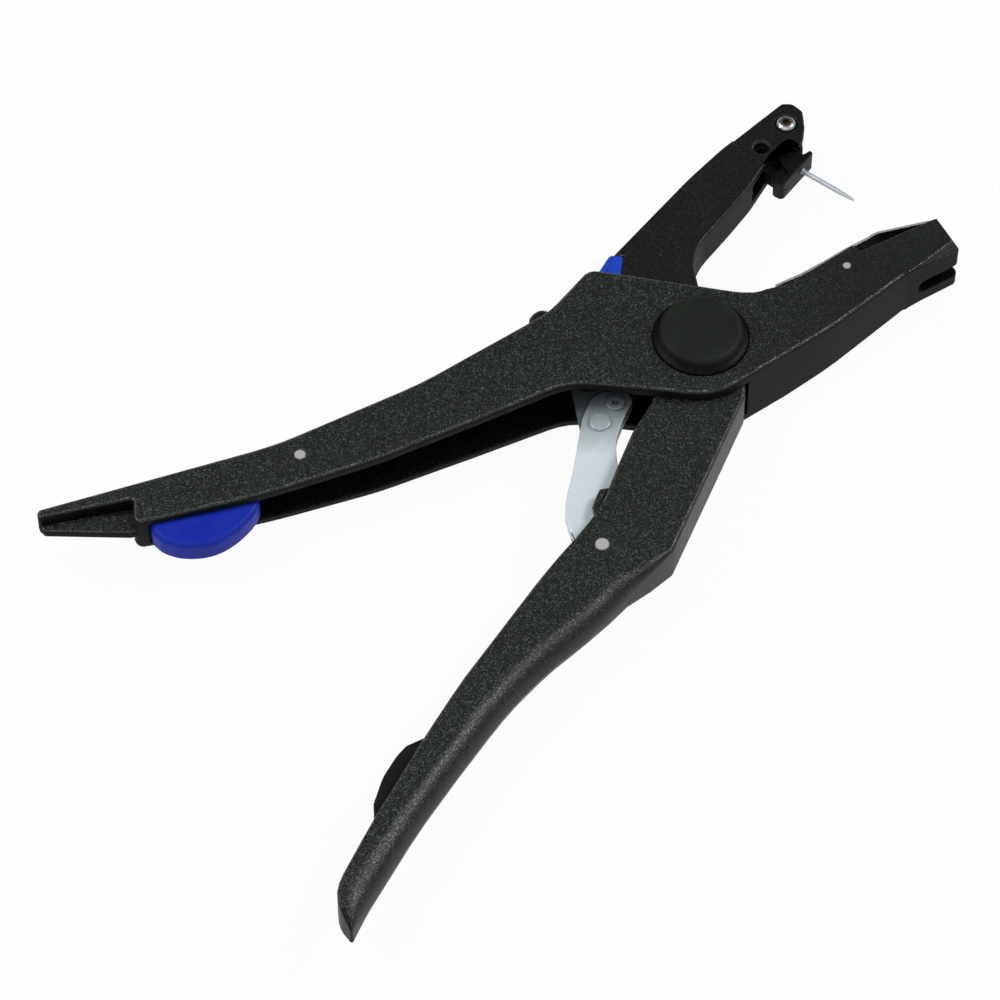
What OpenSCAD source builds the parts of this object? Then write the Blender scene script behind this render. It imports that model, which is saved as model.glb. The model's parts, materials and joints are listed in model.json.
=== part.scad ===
// Ear tag applicator: body casting with its fixed handle and lower jaw, a lower
// handle and an upper jaw on one pivot, and a lever and link that join them.
// Millimetres. The pivot is the Z axis, the back cap's flat face is z = 0, and
// the thickness runs up to the front cap. X runs right, Y up the upper jaw.

/* [Thickness] */
// Height of each pivot cap over the body casting
cap_proud = 4; // [2.5:0.1:6]
// Thickness of the body casting at the pivot
body_thick = 20.7; // [19:0.1:24]
// Thickness of the lower handle
handle_thick = 13.4; // [12:0.1:15]
// Thickness of the upper jaw's arm
jaw_thick = 12.8; // [11:0.1:13.4]
// Thickness of the upper jaw's tongue at the pivot
tongue_thick = 7.5; // [6:0.1:8.4]
// Gap on each side between sliding faces
slide_clear = 0.3; // [0.15:0.05:0.5]
// Narrowing of each face of the fixed handle for one millimetre along X
handle_taper = 0.03175; // [0.01:0.001:0.035]
// Rise of the lower jaw's far face at its tip
jaw_rise = 4.1; // [2:0.1:4.5]

/* [Pivot] */
// Diameter of the pivot bolt
bolt_d = 8; // [6:0.1:9]
// Diameter of the bushing that both levers turn on
bushing_d = 10; // [9.5:0.1:12]
// Gap on the radius between a pin and the piece that turns on it
turn_clear = 0.05; // [0.02:0.01:0.1]
// Gap on the radius between a fixed pin and its hole
fix_clear = 0.03; // [0.01:0.01:0.05]
// Diameter of the cap's base ring
cap_base_d = 26.6; // [25:0.1:28]
// Diameter of the cap's flat top
cap_top_d = 22.3; // [20:0.1:23]
// Depth of the seat for the cap's ring
cap_seat = 1; // [0.6:0.1:1.4]
// Width over the flats of the bolt head and the nut
hex_flats = 12; // [11:0.1:12.4]
// Height of the bolt head and of the nut
hex_high = 3.2; // [2.6:0.1:3.4]

/* [Body casting] */
// Direction of the fixed handle from the pivot
handle_dir = 197.8;
// Direction of the lower jaw from the pivot
jaw_dir = 27.7;
// Radius of the pocket round the pivot
pocket_r = 18.5; // [18:0.1:20]
// Distance of the fixed handle's free end
handle_len = 189.5; // [186:0.5:195]
// Distance of the end of the handle's channel
channel_len = 161.3; // [160:0.1:162]
// Thickness of the rib behind the channel
rib_thick = 2.6; // [2:0.1:4]
// Distance of the lower jaw's tip
jaw_len = 80.2; // [78:0.1:84]
// Width of the slot at the tip of the lower jaw
tip_slot = 4.7; // [4:0.1:5.5]
// Width of the pocket under the tag clip
clip_pocket = 8.6; // [7.5:0.1:9]

/* [Lower handle] */
// Radius of the lower handle's hub
hub_r = 15.5; // [14.5:0.1:15.6]
// Place of the lever's pin in the lower handle
lever_pin_at = [-28.0, -67.2];
// Diameter of the lever's pin
lever_pin_d = 4; // [3:0.1:5]

/* [Lever and link] */
// Thickness of each lever plate
plate_thick = 1.5; // [1:0.1:1.6]
// Thickness of the link
link_thick = 1.2; // [0.8:0.1:1.3]
// Play on each side of the link between the plates
link_play = 0.15; // [0.1:0.05:0.25]
// Place of the link rivet
rivet_at = [-28.05, -23.5];
// Diameter of the link rivet
rivet_d = 3; // [2:0.1:3.4]
// Diameter of the link rivet's head
rivet_head_d = 5.9; // [5:0.1:6.4]
// Place of the hollow rivet
hollow_at = [-23.7, -16.9];
// Diameter of the hollow rivet
hollow_d = 3; // [2.4:0.1:3.4]
// Place of the pin in the upper jaw's tail
tail_at = [-31.5, -8.5];
// Diameter of the tail pin
tail_pin_d = 2.6; // [2:0.1:3]
// Play on the radius of the link's upper hole
link_slack = 0.8; // [0.7:0.05:1]

/* [Upper jaw] */
// Depth of the step at the jaw's tip
tip_step = 0.5; // [0.3:0.1:0.8]
// Thickness of the pin holder between the jaw's tip cheeks
holder_thick = 7; // [6:0.1:7.4]
// Gap on each side of the pin holder
holder_gap = 0.25; // [0.15:0.05:0.35]
// Place of the holder's pivot pin
holder_at = [19, 71.5];
// Diameter of the holder's pivot pin
holder_pin_d = 3.8; // [3:0.1:4]
// Place of the jaw screw
screw_at = [26.3, 79.95];
// Diameter of the jaw screw
screw_d = 3; // [2.5:0.1:3.4]
// Diameter of the jaw screw's head
screw_head_d = 5.7; // [5.2:0.1:6.4]
// Place where the needle leaves the holder
needle_at = [30.9, 67.4];
// Direction of the needle
needle_dir = -36.7;
// Length of the needle outside the holder
needle_len = 17.8; // [14:0.1:18.5]
// Diameter of the needle at the holder
needle_d = 1.5; // [1:0.05:1.6]

/* [Small pieces] */
// Diameter of the pin that holds the blue bumper
bumper_pin_d = 3.2; // [2.4:0.1:3.4]
// Diameter of the tag clip's pin
clip_pin_d = 2.2; // [1.8:0.1:2.4]
// Thickness of the tag clip's strip
clip_sheet = 0.8; // [0.6:0.05:1]
// Width of the tag clip
clip_wide = 14.8; // [12:0.1:14.8]
// Radius of the buffer on the back of the fixed handle
buffer_r = 4; // [3:0.1:5]
// Height of the buffer over the casting
buffer_high = 4.6; // [3:0.1:6]

/* [Hidden] */
$fn = 48;
z0 = cap_proud;
z1 = cap_proud + body_thick;
zm = cap_proud + body_thick / 2;
body_gap = handle_thick + 2 * slide_clear;
handle_gap = tongue_thick + 2 * slide_clear;
fork_gap = holder_thick + 2 * holder_gap;
lever_gap = link_thick + 2 * link_play;
hex_r = hex_flats / 2 / cos(30);
rise_from = 24;
rise_to = 63;

// Points and corners
function unit(v) = v / norm(v);
function arm(dir, s, w, r = 0) = [s * cos(dir) - w * sin(dir), s * sin(dir) + w * cos(dir), r];
function hd(s, w, r = 0) = arm(handle_dir, s, w, r);
function jw(s, w, r = 0) = arm(jaw_dir, s, w, r);
// Along the lower jaw, counted back from its tip
function tip(s, w, r = 0) = jw(jaw_len - s, w, r);
function nd(f, u, r = 0) =
    [needle_at[0] + f * cos(needle_dir) - u * sin(needle_dir),
     needle_at[1] + f * sin(needle_dir) + u * cos(needle_dir), r];
function corner(a, b, c, r) =
    let (u = unit([a[0] - b[0], a[1] - b[1]]),
        v = unit([c[0] - b[0], c[1] - b[1]]),
        half = acos(max(-1, min(1, u * v))) / 2,
        most = 0.48 * min(norm([a[0] - b[0], a[1] - b[1]]), norm([c[0] - b[0], c[1] - b[1]])),
        d = min(r / tan(half), most),
        rad = d * tan(half),
        q = [b[0], b[1]],
        mid = q + unit(u + v) * (rad / sin(half)),
        p0 = q + u * d - mid,
        p1 = q + v * d - mid,
        t0 = atan2(p0[1], p0[0]),
        sweep = (atan2(p1[1], p1[0]) - t0 + 540) % 360 - 180,
        n = max(1, ceil(abs(sweep) / 9), ceil(abs(sweep) * rad * PI / 180 / 6)))
    [for (i = [0 : n]) mid + rad * [cos(t0 + sweep * i / n), sin(t0 + sweep * i / n)]];
function stadium(a, b, r) =
    let (t = atan2(b[1] - a[1], b[0] - a[0]))
    concat([for (i = [0 : 18]) a + r * [cos(t + 90 + 10 * i), sin(t + 90 + 10 * i)]],
        [for (i = [0 : 18]) b + r * [cos(t - 90 + 10 * i), sin(t - 90 + 10 * i)]]);
function rounded(p) =
    let (n = len(p))
    [for (i = [0 : n - 1])
        each (len(p[i]) > 2 && p[i][2] > 0 ? corner(p[(i + n - 1) % n], p[i], p[(i + 1) % n], p[i][2])
            : [[p[i][0], p[i][1]]])];

module slab(p, from, to) {
    translate([0, 0, from])
        linear_extrude(to - from)
            polygon(rounded(p));
}

// A flat profile in X and Z, drawn out along Y
module side_slab(p, y0, y1) {
    translate([0, y1, 0])
        rotate([90, 0, 0])
            linear_extrude(y1 - y0)
                polygon(p);
}

module pin(at, d, from, to) {
    translate([at[0], at[1], from])
        cylinder(d = d, h = to - from);
}

// Raised part of the lower jaw's cheeks beside the tag clip
clip_cheek = [tip(48, 4), tip(46, 5.6), tip(30, 8.1, 6), tip(26.8, 8.7, 1), tip(25.6, 4)];

// Outline of the body casting: fixed handle, top of the hub, lower jaw, underside
body_outline = [
    hd(handle_len, -3.1, 2.4), hd(122, -3.1, 90), hd(78, -10.2, 90), hd(37, -22.1, 25), hd(21.9, -32.5, 4),
    [0, 18.3, 30], [17.04, 14.96, 37],
    tip(0, 6.1, 2.2), tip(0, -5.9, 2), tip(17.5, -7.1, 12), jw(34, -13.9, 60),
    [3.6, -20.1, 17.7], [-15, -17.9, 60], [-36.4, -15.2, 20],
    hd(68, 7.3, 80), hd(97, 11.0, 100), hd(130, 12.2, 200), hd(channel_len + 4.8, 10.2, 2.5),
    hd(channel_len + 2.3, 2.0, 0.8), hd(handle_len, -0.3, 0.8)];
end_x = handle_len * cos(handle_dir);
body_profile = [
    [-230, z0 - handle_taper * end_x + 3.4], [end_x - 1.3, z0 - handle_taper * end_x + 3.4],
    [end_x + 3.4, z0 - handle_taper * (end_x + 23.4)], [-20, z0], [rise_from, z0], [rise_to, z0 + jaw_rise],
    [110, z0 + jaw_rise], [110, z1], [-20, z1], [-230, z1 - handle_taper * 210]];
channel_outline = [
    hd(channel_len, 1.6, 2), hd(122, 1.1, 60), hd(78, -6.4, 90), hd(37, -18.3, 10),
    [-28.2, 17.8], [-28.5, 27], [9.5, 27], [9.5, 14], [-2, 8], [12.9, -12], [12.9, -30], [-33, -30],
    hd(68, 20), hd(130, 24), hd(channel_len, 24)];
channel_profile = [
    [-180, zm - 3.7], [-150, zm - 3.95], [-121, zm - 4.3], [-36, zm - body_gap / 2],
    [40, zm - body_gap / 2], [40, zm + body_gap / 2], [-36, zm + body_gap / 2],
    [-121, zm + 4.3], [-150, zm + 3.95], [-180, zm + 3.7]];
bumper_pin_at = hd(channel_len - 44.9, 2.44);
clip_pin_at = tip(31.9, 3.08);
buffer_at = [-43.6, 12.1];
buffer_dir = 122;
clip_low = zm + 1 - clip_wide / 2;

module body_casting() {
    color([0.12, 0.13, 0.12])
    difference() {
        union() {
            intersection() {
                union() {
                    slab(body_outline, z0, z1);
                    slab(clip_cheek, z0, z1);
                }
                side_slab(body_profile, -95, 95);
            }
            slab([hd(channel_len + 1.7, 1), hd(channel_len + 1.9, 9.5), hd(channel_len + 5.2, 9.5, 3),
                hd(handle_len - 0.5, 1.7, 1.2), hd(handle_len - 0.5, -1.5), hd(channel_len + 14.7, -1.5)],
                zm - rib_thick / 2, zm + rib_thick / 2);
        }
        intersection() {
            slab(channel_outline, z0 - 1, z1 + 1);
            side_slab(channel_profile, -95, 60);
        }
        translate([0, 0, zm - body_gap / 2])
            cylinder(r = pocket_r, h = body_gap, $fn = 72);
        cylinder(d = bolt_d + 2 * fix_clear, h = z1 + 2);
        for (z = [z0 - 1, z1 - cap_seat])
            translate([0, 0, z])
                cylinder(d = cap_base_d + 0.6, h = cap_seat + 1);
        pin(bumper_pin_at, bumper_pin_d + 2 * fix_clear, 0, z1 + 2);
        pin(clip_pin_at, clip_pin_d + 2 * fix_clear, 0, z1 + 2);
        // Pocket under the clip, slot through the web and room for the clip's strip
        rotate([0, 0, jaw_dir]) {
            translate([jaw_len - 35.2, -2.4, zm - clip_pocket / 2])
                cube([jaw_len, 20, clip_pocket]);
            translate([jaw_len - 13.7 + tip_slot / 2, -20, zm - tip_slot / 2])
                cube([jaw_len, 30, tip_slot]);
            translate([jaw_len - 13.7 + tip_slot / 2, -20, zm])
                rotate([-90, 0, 0])
                    cylinder(d = tip_slot, h = 30);
            translate([jaw_len - 46, 6.3, clip_low - 0.25])
                cube([22, 10, clip_wide + 0.55]);
            // Bevel that grows along the lower corner of the near prong
            translate([jaw_len - 18, -7.1, z1])
                rotate([0, 0, 13.9])
                    rotate([41.6, 0, 0])
                        translate([-0.3, -12, 0])
                            cube([40, 12, 8]);
            // Bevel across the end of the near prong
            translate([jaw_len - 1.3, -20, z1])
                rotate([0, 63, 0])
                    cube([8, 40, 8]);
        }
        buffer_place() {
            translate([0, 0, -0.8])
                cylinder(r = buffer_r + fix_clear, h = 8);
            translate([0, 0, -9])
                cylinder(r = 1.8 + fix_clear, h = 12);
        }
    }
}

// The buffer's own frame: Z points away from the casting
module buffer_place() {
    translate([buffer_at[0], buffer_at[1], zm])
        rotate([0, 0, buffer_dir])
            rotate([0, 90, 0])
                children();
}

module back_buffer() {
    color([0.06, 0.06, 0.06])
    buffer_place() {
        translate([0, 0, -0.8])
            rotate_extrude()
                polygon([[0, 0], [buffer_r, 0], [buffer_r, 2.4], [buffer_r * 0.93, 3.4],
                    [buffer_r * 0.74, 4.5], [buffer_r * 0.45, 5.15], [0, 0.8 + buffer_high]]);
        translate([0, 0, -5])
            cylinder(r = 1.8, h = 4.3);
    }
}

// Sections of the lower handle from the hub to its free end: left edge, back,
// and the radius of the back's corners and the half thickness as shares of the
// half thickness at the hub
handle_half = handle_thick / 2;
handle_rows = [
    [-11.5, -10.4, 12.3, -9.2, 0.16, 1], [-13.8, -19.2, 11.9, -17.6, 0.16, 1],
    [-19.3, -29.6, 7.6, -28.3, 0.16, 1], [-23.5, -41.0, 3.1, -39.5, 0.16, 1],
    [-26.7, -50.4, -2.2, -52.6, 0.16, 1], [-29.4, -56.4, -5.9, -61.8, 0.17, 1],
    [-31.4, -59.6, -8.9, -69.0, 0.2, 1], [-34.0, -63.9, -14.9, -75.1, 0.4, 1],
    [-39.4, -71.2, -23.4, -81.3, 0.7, 1], [-45.7, -80.6, -31.7, -93.6, 0.93, 1],
    [-52.4, -91.1, -40.2, -102.2, 0.99, 1], [-58.6, -100.6, -47.4, -110.2, 0.99, 1],
    [-64.8, -110.2, -54.0, -118.6, 0.99, 1], [-72.4, -124.0, -61.9, -131.0, 0.99, 1],
    [-79.5, -137.6, -69.6, -143.6, 0.99, 1], [-87.2, -152.8, -78.0, -157.6, 0.99, 1],
    [-93.9, -167.0, -85.8, -171.4, 0.95, 1], [-96.7, -173.6, -88.9, -176.8, 0.88, 0.98],
    [-97.2, -178.4, -90.7, -180.4, 0.74, 0.92], [-96.4, -182.2, -92.2, -183.5, 0.5, 0.78],
    [-95.0, -185.2, -93.5, -186.3, 0.15, 0.55]];
// The rows with one more between each two of the grip's, on a smooth line
grip_from = 8;
function between(k) =
    (9 * (handle_rows[k] + handle_rows[k + 1]) - handle_rows[k - 1]
        - handle_rows[min(k + 2, len(handle_rows) - 1)]) / 16;
fine_rows = [for (k = [0 : len(handle_rows) - 1])
    each (k >= grip_from && k < len(handle_rows) - 2 ? [handle_rows[k], between(k)] : [handle_rows[k]])];
row_steps = 5;
function row(k) =
    let (q = fine_rows[k],
        a = [q[0], q[1]],
        b = [q[2], q[3]],
        w = norm(b - a),
        u = unit(b - a),
        h = handle_half * q[5],
        r = q[4] * handle_half,
        flat = concat([[0, -h]],
            [for (i = [0 : row_steps]) let (t = 90 * i / row_steps) [w - r + r * sin(t), -h + r - r * cos(t)]],
            [for (i = [0 : row_steps]) let (t = 90 * i / row_steps) [w - r + r * cos(t), h - r + r * sin(t)]],
            [[0, h]]))
    [for (p = flat) [a[0] + u[0] * p[0], a[1] + u[1] * p[0], zm + p[1]]];

module handle_solid() {
    n = 2 * row_steps + 4;
    m = len(fine_rows);
    pts = [for (k = [0 : m - 1]) each row(k)];
    sides = [for (k = [0 : m - 2], i = [0 : n - 1])
        each [[k * n + i, (k + 1) * n + (i + 1) % n, k * n + (i + 1) % n],
              [k * n + i, (k + 1) * n + i, (k + 1) * n + (i + 1) % n]]];
    ends = [[for (i = [0 : n - 1]) i], [for (i = [0 : n - 1]) m * n - 1 - i]];
    polyhedron(pts, concat(sides, ends));
}

handle_cavity = [
    [8.6, -13.2], [8.3, -17.5, 2], [4.0, -29.5], [-1.5, -41.2], [-6.3, -51.5], [-10.0, -61.9],
    [-12.9, -70.0, 3], [-20.3, -76.4], [-28.3, -82.2], [-36.0, -90.2], [-44.4, -98.8], [-51.6, -106.9],
    [-58.4, -115.0], [-67.2, -127.6], [-74.9, -140.6], [-83.3, -155.1], [-85.4, -159.2, 2],
    [-100, -157], [-92, -137], [-80, -112], [-62, -88], [-46, -63], [-38, -46], [-32, -30], [-26, -4]];

module lower_handle() {
    color([0.12, 0.13, 0.12])
    difference() {
        union() {
            translate([0, 0, zm - handle_half])
                cylinder(r = hub_r, h = handle_thick, $fn = 72);
            handle_solid();
        }
        slab(handle_cavity, zm - handle_gap / 2, zm + handle_gap / 2);
        translate([0, 0, zm - handle_gap / 2])
            cylinder(r = hub_r + 0.6, h = handle_gap, $fn = 72);
        cylinder(d = bushing_d + 2 * turn_clear, h = z1 + 2);
        pin(lever_pin_at, lever_pin_d + 2 * fix_clear, 0, z1 + 2);
    }
    color([0.12, 0.13, 0.12])
        slab([[-24.6, -47.4], [-28.4, -48.1, 0.8], [-29.3, -50.2, 2], [-30.4, -54.6, 0.8], [-29.6, -55.9, 0.5],
            [-26.5, -56.5]], zm + handle_gap / 2 - 1.3, zm + handle_gap / 2 + 1.2);
}

module lower_bumper() {
    color([0.05, 0.05, 0.05])
        slab([[-70.4, -126.8, 1], [-67.4, -127.7], [-75.1, -140.5], [-83.5, -155.0], [-86.6, -156.0, 2],
            [-88.3, -153.0, 2], [-88.6, -148.0, 5], [-86.2, -139.6, 12], [-82.6, -133.0, 10],
            [-80.2, -130.0, 3], [-75.6, -127.6, 3]],
            zm - handle_gap / 2 + 0.05, zm + handle_gap / 2 - 0.05);
}

// The blue bumper, counted back from the end of the fixed handle's channel
blue_outline = [
    [43.1, 1.8, 0.5], [0.1, 1.8, 1], [0.1, 12.4, 2], [1.7, 15.8, 6], [5.4, 18.9, 12], [11.0, 20.9, 20],
    [16.6, 21.0, 20], [22.4, 18.9, 20], [27.4, 15.6, 14], [30.6, 12.2, 4], [31.3, 7.5, 1], [34.5, 4.4, 2],
    [43.1, 4.2, 1]];

module upper_bumper() {
    color([0.1, 0.15, 0.7])
        slab([for (p = blue_outline) hd(channel_len - p[0], p[1], p[2])], zm - 3.8, zm + 3.8);
}

module bumper_pin() {
    color([0.75, 0.75, 0.76])
        pin(bumper_pin_at, bumper_pin_d, z0 + 2.95, z1 - 2.95);
}

// Upper jaw: arm outside the hub, tongue, tail, fork and fittings
tongue_h = tongue_thick / 2;
arm_h = jaw_thick / 2;
tail_u = unit(tail_at);
tail_n = [-tail_u[1], tail_u[0]];
jaw_outline = [
    [7.4, 70.3, 40], [-2.2, 59.4, 60], [-23.7, 31.9], [-21.0, 31.6], [-22.3, 20], [-26.7, 19.5],
    [-26.3, 17, 2], [-23.8, 11, 3],
    [-13, 5], [3, 8], [-0.04, 20.9, 8], [-1.5, 29.3, 20], [0.7, 36.4, 30], [9.9, 49.0, 60], [15.8, 57.6, 12],
    [22.0, 68.9], [25.8, 73.2, 1], [27.4, 74.0, 1.5], [30.2, 71.2, 0.6], [31.2, 75.6, 6], [31.6, 79.2, 3],
    [31.2, 84.9, 1.8], [28.4, 87.7, 2.5], [25.3, 87.7, 1.5]];
// The fork's gap runs from this edge to the open side
fork_outline = [
    [16.4, 58.6], [15.8, 63.0, 2], [16.6, 67.6], [17.2, 74.4], [27.2, 85.2, 2], [40, 92], [44, 50]];

module upper_jaw() {
    color([0.16, 0.17, 0.17])
    difference() {
        union() {
            difference() {
                slab(jaw_outline, zm - arm_h, zm + arm_h);
                for (s = [-1, 1])
                    translate([0, 0, s > 0 ? zm + tongue_h : zm - arm_h - 1])
                        cylinder(r = hub_r + 0.5, h = arm_h - tongue_h + 1, $fn = 72);
            }
            translate([0, 0, zm - tongue_h])
                cylinder(r = 12, h = tongue_thick, $fn = 72);
            // Tail toward the link
            translate([0, 0, zm - tongue_h])
                linear_extrude(tongue_thick)
                    polygon([tail_at + 3.4 * tail_n, 9.5 * tail_n, -10.5 * tail_n, tail_at - 3.4 * tail_n]);
            pin(tail_at, 6.8, zm - tongue_h, zm + tongue_h);
        }
        cylinder(d = bushing_d + 2 * turn_clear, h = z1 + 2);
        // Clevis for the link
        pin(tail_at, 15, zm - link_thick / 2 - 0.3, zm + link_thick / 2 + 0.3);
        pin(tail_at, tail_pin_d + 2 * fix_clear, 0, z1 + 2);
        slab(fork_outline, zm - fork_gap / 2, zm + fork_gap / 2);
        pin(holder_at, 7.9, zm - fork_gap / 2, zm + fork_gap / 2);
        // Stepped tip with its counterbored screw and its chamfered hole
        slab([[11.5, 72.4], [19.5, 65.0], [45, 50], [45, 100], [5, 100]], zm + arm_h - tip_step, z1 + 2);
        pin(screw_at, screw_d + 2 * fix_clear, 0, z1 + 2);
        pin(screw_at, screw_head_d + 1.0, zm + arm_h - tip_step - 0.9, z1 + 2);
        pin(holder_at, holder_pin_d + 2 * fix_clear, 0, z1 + 2);
        translate([holder_at[0], holder_at[1], zm + arm_h - tip_step - 0.7])
            cylinder(r1 = holder_pin_d / 2, r2 = holder_pin_d / 2 + 0.8, h = 0.8);
        pin([-11.5, 34.9], 3.3, 0, z1 + 2);
    }
}

module stop_pad() {
    color([0.1, 0.15, 0.7])
        slab([[-28.0, 25.9, 0.8], [-25.3, 31.0, 1], [-24.4, 31.9, 0.3], [-23.7, 31.9], [-21.0, 31.6],
            [-22.3, 20], [-26.7, 19.5], [-27.9, 19.8, 0.3]], zm - arm_h, zm + arm_h);
}

module tail_pin() {
    color([0.75, 0.75, 0.76])
        pin(tail_at, tail_pin_d, zm - tongue_h, zm + tongue_h);
}

module jaw_plug() {
    color([0.3, 0.31, 0.31])
        pin([-11.5, 34.9], 3.24, zm - arm_h, zm + arm_h + 0.15);
}

module jaw_screw() {
    seat = zm + arm_h - tip_step - 0.9;
    color([0.8, 0.8, 0.82])
    translate([screw_at[0], screw_at[1], 0])
    difference() {
        union() {
            translate([0, 0, zm - arm_h + 0.3])
                cylinder(d = screw_d, h = seat - zm + arm_h - 0.2);
            translate([0, 0, seat])
                rotate_extrude()
                    polygon([[0, 0], [screw_head_d / 2, 0], [screw_head_d / 2, 0.9],
                        [screw_head_d / 2 - 0.25, 1.5], [screw_head_d / 2 - 0.9, 2.0], [0, 2.2]]);
        }
        // Star recess
        translate([0, 0, seat + 0.9]) {
            cylinder(r = 0.95, h = 2);
            for (a = [0 : 60 : 300])
                rotate([0, 0, a + 15])
                    translate([0.98, 0, 0])
                        cylinder(r = 0.32, h = 2, $fn = 16);
        }
    }
}

module holder_pin() {
    top = zm + arm_h - tip_step - 1.6;
    color([0.35, 0.35, 0.36])
    difference() {
        pin(holder_at, holder_pin_d, zm - arm_h + 0.3, top);
        pin(holder_at, 2.0, zm - arm_h, top + 1);
    }
}

module pin_holder() {
    h = holder_thick / 2;
    hub = [holder_at[0], holder_at[1], 0];
    color([0.07, 0.07, 0.07])
    difference() {
        union() {
            slab([nd(0, -10.2, 1.5), nd(0, 5.1, 0.6), nd(-1.3, 5.1, 0.4), nd(-1.9, 2.8, 1), nd(-3.0, 2.9),
                nd(-5.3, 3.4, 0.8), nd(-7.2, 1.0, 1), nd(-7.0, -3.0, 1), nd(-1.7, -4.8, 1), nd(-1.9, -6.8, 1),
                nd(-3.9, -8.2, 1.2), nd(-3.6, -10.2, 1.5)], zm - h, zm + h);
            slab([nd(-1.6, -3), nd(-1.8, -7.0), nd(-3.6, -8.6), nd(-7.5, -8.4, 2), nd(-12.4, -7.0, 2.5),
                nd(-12, -1.0, 2), nd(-6.8, 0.6)], zm - 2.3, zm + 2.3);
            pin(hub, 7.2, zm - h, zm + h);
        }
        pin(hub, holder_pin_d + 2 * turn_clear, 0, z1 + 2);
        // Dimple on the near face and the needle's bore
        translate([23.1, 67.3, zm + 1.2])
            cylinder(d = 3.2, h = 4);
        needle_place()
            translate([0, 0, -5])
                cylinder(d = needle_d + 0.35 + 2 * fix_clear, h = 8);
    }
}

module needle_place() {
    translate([needle_at[0], needle_at[1], zm])
        rotate([0, 0, needle_dir])
            rotate([0, 90, 0])
                children();
}

module needle() {
    color([0.8, 0.82, 0.85])
    needle_place() {
        translate([0, 0, -4.9])
            cylinder(d = needle_d + 0.35, h = 4.9);
        cylinder(d = needle_d, h = needle_len - 6);
        translate([0, 0, needle_len - 6])
            cylinder(d1 = needle_d, d2 = 0.85, h = 5.4);
        translate([0, 0, needle_len - 0.6])
            cylinder(d1 = 0.85, d2 = 0.35, h = 0.6);
    }
}

// Lever: two plates that pivot on the lower handle, with the link between them
lever_outline = [
    [-30.4, -15.2, 2], [-32.9, -21.8, 8], [-33.7, -27, 20], [-35.4, -38.7, 30], [-37.5, -48.9, 15],
    [-37.9, -53.4, 8], [-36.6, -59.1, 10], [-34.6, -63.5, 6], [-33.3, -69.2, 5], [-29.6, -72.6, 4],
    [-25.2, -72.0, 4], [-22.6, -67.8, 4], [-23.2, -61, 6], [-25.4, -55.6, 3], [-29.4, -55.2, 1],
    [-30.5, -52.2, 1.5], [-29.6, -49.4, 2], [-28.3, -47.8, 1], [-25.2, -47.0, 2], [-23.2, -39.3, 10],
    [-23.7, -33.5, 15], [-23.5, -27.8, 10], [-21.2, -20.9, 15], [-18.7, -15.9, 2.5], [-20.4, -13.0, 3],
    [-27.5, -12.9, 3]];

module lever_plate(from, to) {
    difference() {
        slab(lever_outline, from, to);
        pin(lever_pin_at, lever_pin_d + 2 * turn_clear, 0, z1 + 2);
        pin(rivet_at, rivet_d + 2 * fix_clear, 0, z1 + 2);
        pin(hollow_at, hollow_d + 2 * fix_clear, 0, z1 + 2);
    }
}

module lever_front_plate() {
    color([0.75, 0.78, 0.8])
        lever_plate(zm + lever_gap / 2, zm + lever_gap / 2 + plate_thick);
}

module lever_back_plate() {
    color([0.75, 0.78, 0.8])
        lever_plate(zm - lever_gap / 2 - plate_thick, zm - lever_gap / 2);
}

module lever_spacer() {
    color([0.7, 0.72, 0.74])
    difference() {
        pin(lever_pin_at, 8.6, zm - lever_gap / 2, zm + lever_gap / 2);
        pin(lever_pin_at, lever_pin_d + 2 * turn_clear, 0, z1 + 2);
    }
}

module lever_pin() {
    color([0.75, 0.75, 0.76])
        pin(lever_pin_at, lever_pin_d, zm - handle_half, zm + handle_half);
}

module rivet(at, d, head_d, head_h) {
    out = lever_gap / 2 + plate_thick;
    pin(at, d, zm - out - 0.1, zm + out + 0.1);
    translate([at[0], at[1], zm + out])
        rotate_extrude()
            polygon([[0, 0], [head_d / 2, 0], [head_d / 2, head_h * 0.75], [head_d / 2 - head_h * 0.25, head_h],
                [0, head_h]]);
    translate([at[0], at[1], zm - out])
        rotate_extrude()
            polygon([[0, 0], [head_d / 2, 0], [head_d / 2, -head_h * 0.75], [head_d / 2 - head_h * 0.25, -head_h],
                [0, -head_h]]);
}

module link_rivet() {
    color([0.78, 0.8, 0.82])
        rivet(rivet_at, rivet_d, rivet_head_d, 0.9);
}

module hollow_rivet() {
    color([0.78, 0.8, 0.82])
    difference() {
        rivet(hollow_at, hollow_d, 5.2, 0.7);
        pin(hollow_at, 2, 0, z1 + 2);
    }
}

link_len = norm(tail_at - rivet_at);
function along_link(f, u, r) =
    let (a = atan2(tail_at[1] - rivet_at[1], tail_at[0] - rivet_at[0]))
    [rivet_at[0] + f * cos(a) - u * sin(a), rivet_at[1] + f * sin(a) + u * cos(a), r];

module link_plate() {
    color([0.75, 0.78, 0.8])
    difference() {
        slab([along_link(-3.2, -2.6, 1.5), along_link(-1.0, -3.9, 3), along_link(link_len, -3.9, 3),
            along_link(link_len + 4, -1, 3), along_link(link_len + 4, 1.2, 3), along_link(link_len, 4.6, 3),
            along_link(0, 5.6, 4), along_link(-3.8, 3.2, 2.5)], zm - link_thick / 2, zm + link_thick / 2);
        pin(rivet_at, rivet_d + 2 * turn_clear, 0, z1 + 2);
        pin(tail_at, tail_pin_d + 2 * link_slack, 0, z1 + 2);
    }
}

// Tag clip: a bowed strip over the lower jaw, counted back from the tip, with two
// ears on the clip pin
clip_line = [[52.2, 7.0], [44.2, 7.1], [36.2, 7.9], [28.9, 9.0], [21.2, 9.6], [18.9, 10.05], [17.2, 10.0],
    [13.0, 9.1], [2.9, 6.85], [1.3, 6.12]];

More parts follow.
